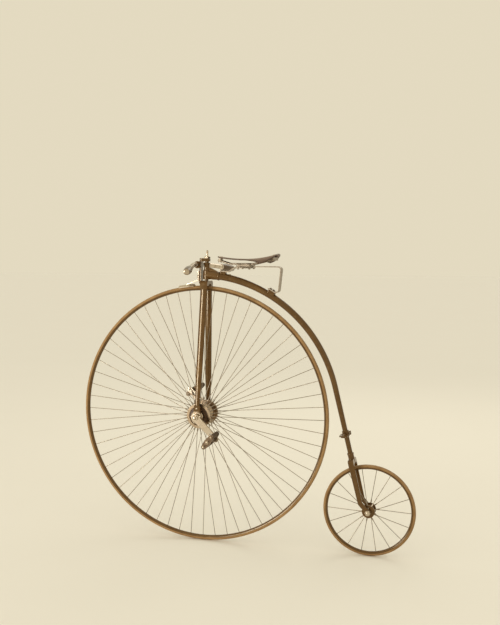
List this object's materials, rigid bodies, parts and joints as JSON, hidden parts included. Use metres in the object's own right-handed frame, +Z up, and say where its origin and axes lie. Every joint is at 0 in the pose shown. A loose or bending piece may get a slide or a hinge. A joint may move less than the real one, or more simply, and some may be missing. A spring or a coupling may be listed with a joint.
{
  "type": "high-wheel bicycle",
  "caption": "High-wheel bicycle with a large direct-driven front wheel, a small rear wheel, a curved backbone, an open steering head and a sprung leather saddle.",
  "frame": {"origin": "middle of the saddle's top, where the rider sits", "axes": "+X forward, +Y to the rider's left, +Z up"},
  "size_m": [1.6144, 0.6742, 1.3841],
  "materials": {
    "enamel": "gloss black-brown enamel",
    "nickel": "worn nickel plate",
    "steel": "dull bright steel",
    "tyre_rubber": "matt solid rubber",
    "pedal_rubber": "matt moulded rubber",
    "leather": "worn brown leather",
    "grip": "polished dark horn"
  },
  "bodies": {
    "backbone": {"backbone": "enamel", "neck": "enamel", "rear_fork_crown": "enamel", "rear_fork_left": "enamel", "rear_fork_right": "enamel", "rear_axle": "steel", "rear_axle_nuts": "nickel", "saddle_spring": "steel", "spring_front_lug": "enamel", "spring_rear_shoe": "enamel", "saddle_frame": "steel", "saddle_leather": "leather", "mounting_step": "enamel"},
    "fork": {"steering_head": "enamel", "head_adjusting_screw": "nickel", "fork_left": "enamel", "fork_right": "enamel", "bearing_case_left": "nickel", "bearing_case_right": "nickel", "handlebar": "nickel", "grip_left": "grip", "grip_right": "grip", "brake_lever": "nickel", "brake_spoon": "nickel"},
    "front_wheel": {"front_tyre": "tyre_rubber", "front_rim": "enamel", "front_spokes_left": "steel", "front_spokes_right": "steel", "front_hub": "nickel", "front_axle": "nickel", "crank_left": "nickel", "crank_right": "nickel", "pedal_pin_left": "nickel", "pedal_pin_right": "nickel"},
    "pedal_left": {"pedal_frame_left": "steel", "pedal_rubbers_left": "pedal_rubber"},
    "pedal_right": {"pedal_frame_right": "steel", "pedal_rubbers_right": "pedal_rubber"},
    "rear_wheel": {"rear_tyre": "tyre_rubber", "rear_rim": "enamel", "rear_spokes_left": "steel", "rear_spokes_right": "steel", "rear_hub": "enamel"}
  },
  "joints": [
    {"name": "steering", "type": "hinge", "parent": "backbone", "child": "fork", "pos_m": [0.215, 0, -0.7355], "axis": [-0.0349, 0, 0.9994], "range_deg": [-60, 60]},
    {"name": "front_wheel_spin", "type": "hinge", "parent": "fork", "child": "front_wheel", "pos_m": [0.215, 0, -0.7355], "axis": [0, 1, 0], "continuous": true},
    {"name": "pedal_left_spin", "type": "hinge", "parent": "front_wheel", "child": "pedal_left", "pos_m": [0.12364, 0, -0.82372], "axis": [0, 1, 0], "continuous": true},
    {"name": "pedal_right_spin", "type": "hinge", "parent": "front_wheel", "child": "pedal_right", "pos_m": [0.30636, 0, -0.64728], "axis": [0, 1, 0], "continuous": true},
    {"name": "rear_wheel_spin", "type": "hinge", "parent": "backbone", "child": "rear_wheel", "pos_m": [-0.58, 0, -1.135], "axis": [0, 1, 0], "continuous": true}
  ]
}
